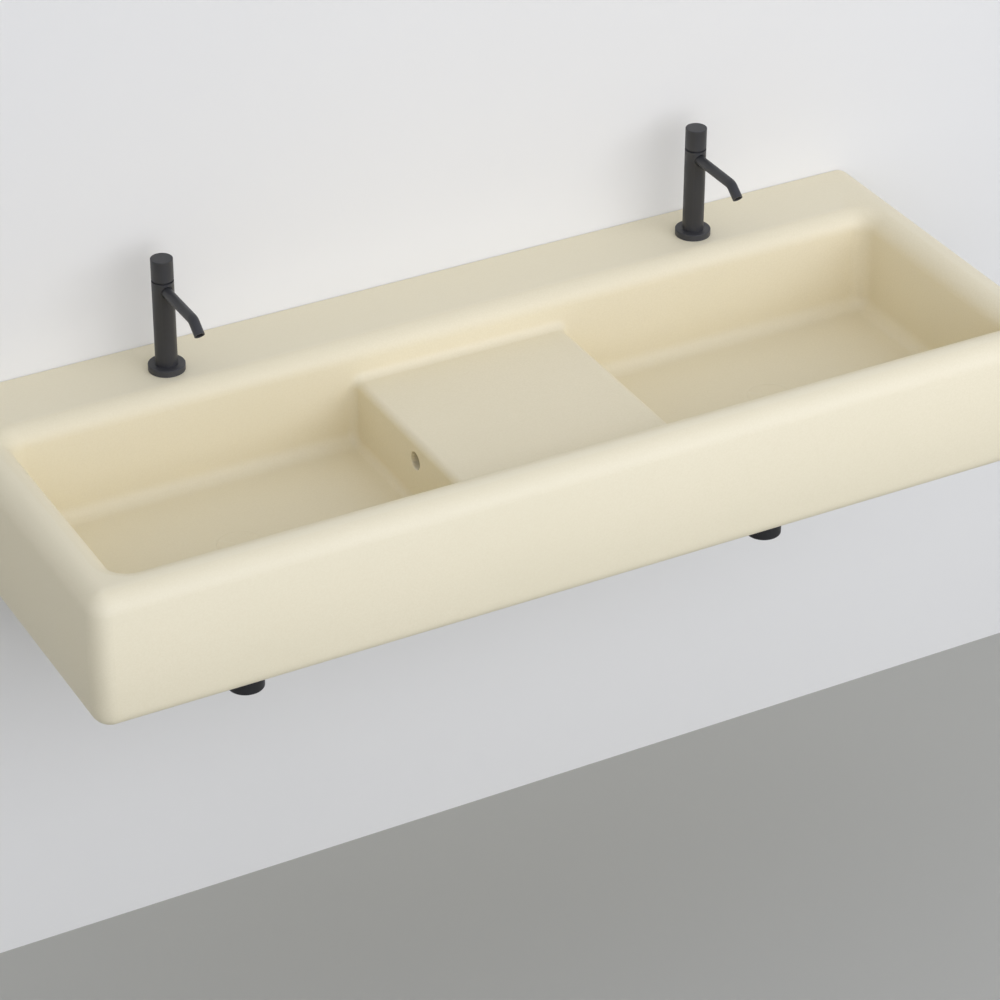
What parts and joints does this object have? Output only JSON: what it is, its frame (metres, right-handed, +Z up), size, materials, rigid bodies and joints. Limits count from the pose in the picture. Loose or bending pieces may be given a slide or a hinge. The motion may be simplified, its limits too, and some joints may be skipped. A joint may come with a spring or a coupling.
{
  "type": "washbasin",
  "caption": "Long wall-hung washbasin with bowls either side of a lower shelf, deck taps with turning knobs, push-to-open wastes and bottle traps.",
  "frame": {"origin": "on the wall face, midway between the inner wall bolts and at their height, 80 mm below the deck", "axes": "+X to the right along the wall as seen from the room, +Y into the wall, +Z up"},
  "size_m": [1.4, 0.6, 0.5302],
  "materials": {
    "basin_glaze": "matt cream glaze",
    "cover_glaze": "matt cream glaze",
    "tap_black": "matt black coating",
    "trap_black": "matt black coating",
    "brass": "turned",
    "steel": "zinc-free stainless",
    "waste_chrome": "polished",
    "white_plastic": "moulded",
    "dark_plastic": "moulded",
    "valve_ceramic": "lapped",
    "rubber": "moulded"
  },
  "bodies": {
    "basin": {"basin_body": "basin_glaze", "left_tap_flange": "tap_black", "left_tap_column": "tap_black", "left_tap_spout": "tap_black", "left_tap_headwork": "brass", "left_waste_body": "waste_chrome", "left_click_unit": "white_plastic", "left_dip_tube": "trap_black", "left_trap_head": "trap_black", "left_trap_cup": "trap_black", "left_outlet_pipe": "trap_black", "right_tap_flange": "tap_black", "right_tap_column": "tap_black", "right_tap_spout": "tap_black", "right_tap_headwork": "brass", "right_waste_body": "waste_chrome", "right_click_unit": "white_plastic", "right_dip_tube": "trap_black", "right_trap_head": "trap_black", "right_trap_cup": "trap_black", "right_outlet_pipe": "trap_black", "wall_bolts": "steel", "bolt_washers": "steel", "bolt_nuts": "steel", "tap_clamp_washers": "steel", "tap_tails": "brass", "tap_back_nuts": "brass", "waste_nuts": "brass", "bolt_bushes": "white_plastic", "spout_inserts": "dark_plastic", "glide_rings": "dark_plastic", "fixed_discs": "valve_ceramic", "tap_base_seals": "rubber", "tap_deck_washers": "rubber", "waste_flange_seals": "rubber", "waste_washers": "rubber", "trap_inlet_seals": "rubber", "trap_gland_seals": "rubber", "trap_cup_seals": "rubber", "trap_outlet_seals": "rubber", "trap_inlet_nuts": "trap_black", "trap_gland_nuts": "trap_black", "trap_outlet_nuts": "trap_black", "wall_rosettes": "trap_black"},
    "left_knob": {"left_tap_knob": "tap_black", "left_knob_screw": "steel", "left_tap_spindle": "brass", "left_moving_disc": "valve_ceramic"},
    "left_plug": {"left_plug_cover": "cover_glaze", "left_plug_stem": "waste_chrome", "left_plug_seal": "rubber"},
    "right_knob": {"right_tap_knob": "tap_black", "right_knob_screw": "steel", "right_tap_spindle": "brass", "right_moving_disc": "valve_ceramic"},
    "right_plug": {"right_plug_cover": "cover_glaze", "right_plug_stem": "waste_chrome", "right_plug_seal": "rubber"}
  },
  "joints": [
    {"name": "left_knob_turn", "type": "hinge", "parent": "basin", "child": "left_knob", "pos_m": [-0.3965, -0.068, 0.213], "axis": [0, 0, 1], "range_deg": [0, 90]},
    {"name": "right_knob_turn", "type": "hinge", "parent": "basin", "child": "right_knob", "pos_m": [0.3965, -0.068, 0.213], "axis": [0, 0, 1], "range_deg": [0, 90]},
    {"name": "left_plug_lift", "type": "slide", "parent": "basin", "child": "left_plug", "axis": [0, 0, 1], "range_m": [0, 0.008]},
    {"name": "right_plug_lift", "type": "slide", "parent": "basin", "child": "right_plug", "axis": [0, 0, 1], "range_m": [0, 0.008]}
  ]
}
